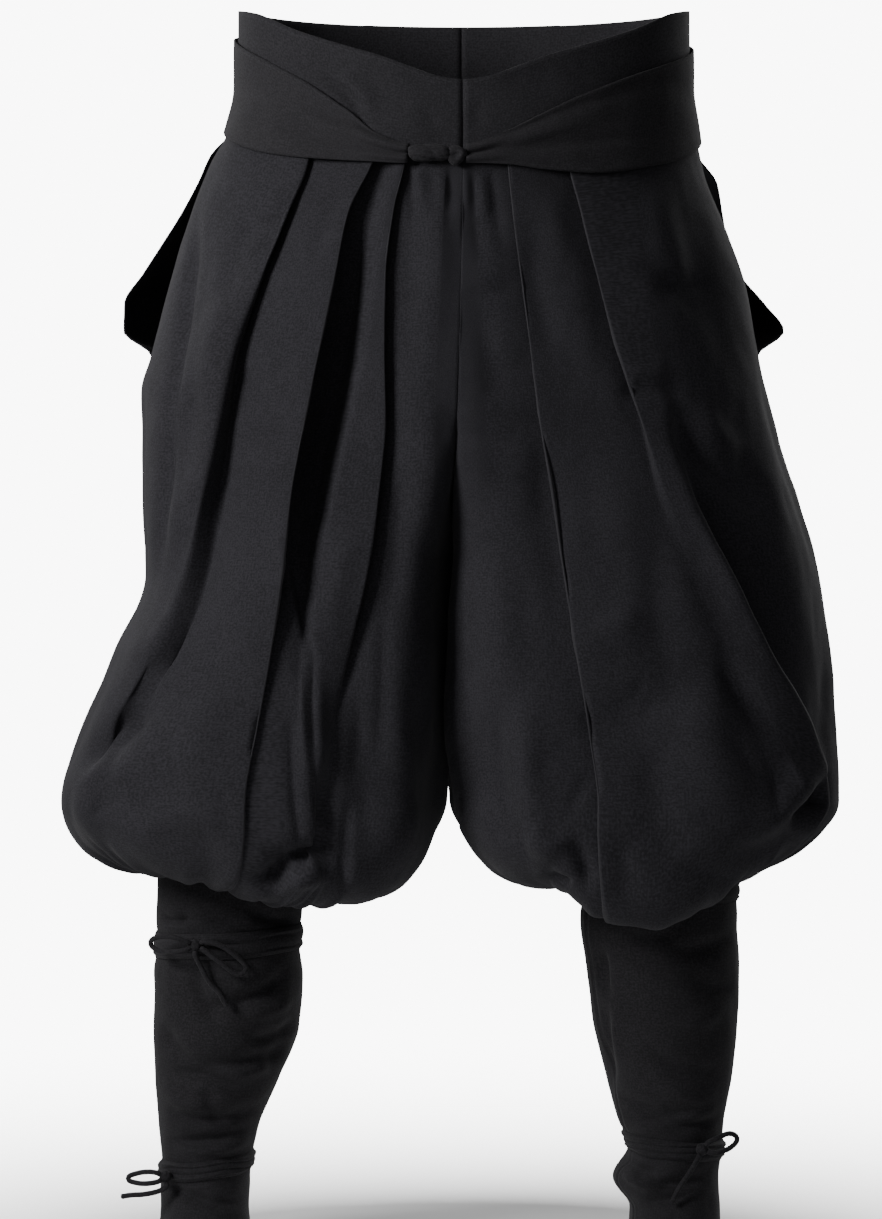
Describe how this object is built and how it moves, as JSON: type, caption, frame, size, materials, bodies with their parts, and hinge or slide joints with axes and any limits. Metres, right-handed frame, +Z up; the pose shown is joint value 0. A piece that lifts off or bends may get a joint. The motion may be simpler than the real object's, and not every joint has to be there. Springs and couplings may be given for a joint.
{
  "type": "hakama",
  "caption": "Pleated, bloused trousers with waistband, waist ties, back board and fitted lower legs tied at knee and ankle.",
  "frame": {"origin": "middle of the waist, in the plane of the waistband, where the wearer holds the garment up", "axes": "+Z up, -Y to the front, +X to the wearer's left"},
  "size_m": [0.6222, 0.3131, 0.9896],
  "materials": {
    "panel_cloth": "matte woven cotton",
    "band_cloth": "matte woven cotton, folded and pressed",
    "tie_cloth": "matte woven cotton, folded",
    "lower_leg_cloth": "matte woven cotton",
    "cord_cloth": "matte cotton tape"
  },
  "bodies": {
    "root": {"front_right_side": "panel_cloth", "front_right_centre": "panel_cloth", "front_left_side": "panel_cloth", "front_left_centre": "panel_cloth", "back_right_side": "panel_cloth", "back_right_centre": "panel_cloth", "back_left_side": "panel_cloth", "back_left_centre": "panel_cloth", "waistband_right": "band_cloth", "waistband_left": "band_cloth", "back_board": "band_cloth", "tie_right": "tie_cloth", "tie_left": "tie_cloth", "waist_knot": "tie_cloth", "waist_knot_tip": "tie_cloth", "shin_right": "lower_leg_cloth", "shin_left": "lower_leg_cloth", "knee_tie_right": "cord_cloth", "knee_tie_left": "cord_cloth", "ankle_tie_right": "cord_cloth", "ankle_tie_left": "cord_cloth", "knee_knot_right": "cord_cloth", "ankle_knot_right": "cord_cloth", "ankle_knot_left": "cord_cloth", "knee_loop_outer": "cord_cloth", "knee_loop_inner": "cord_cloth", "knee_tail": "cord_cloth", "ankle_loop_right": "cord_cloth", "ankle_tail_right": "cord_cloth", "ankle_loop_left": "cord_cloth", "ankle_tail_left": "cord_cloth"}
  },
  "joints": []
}
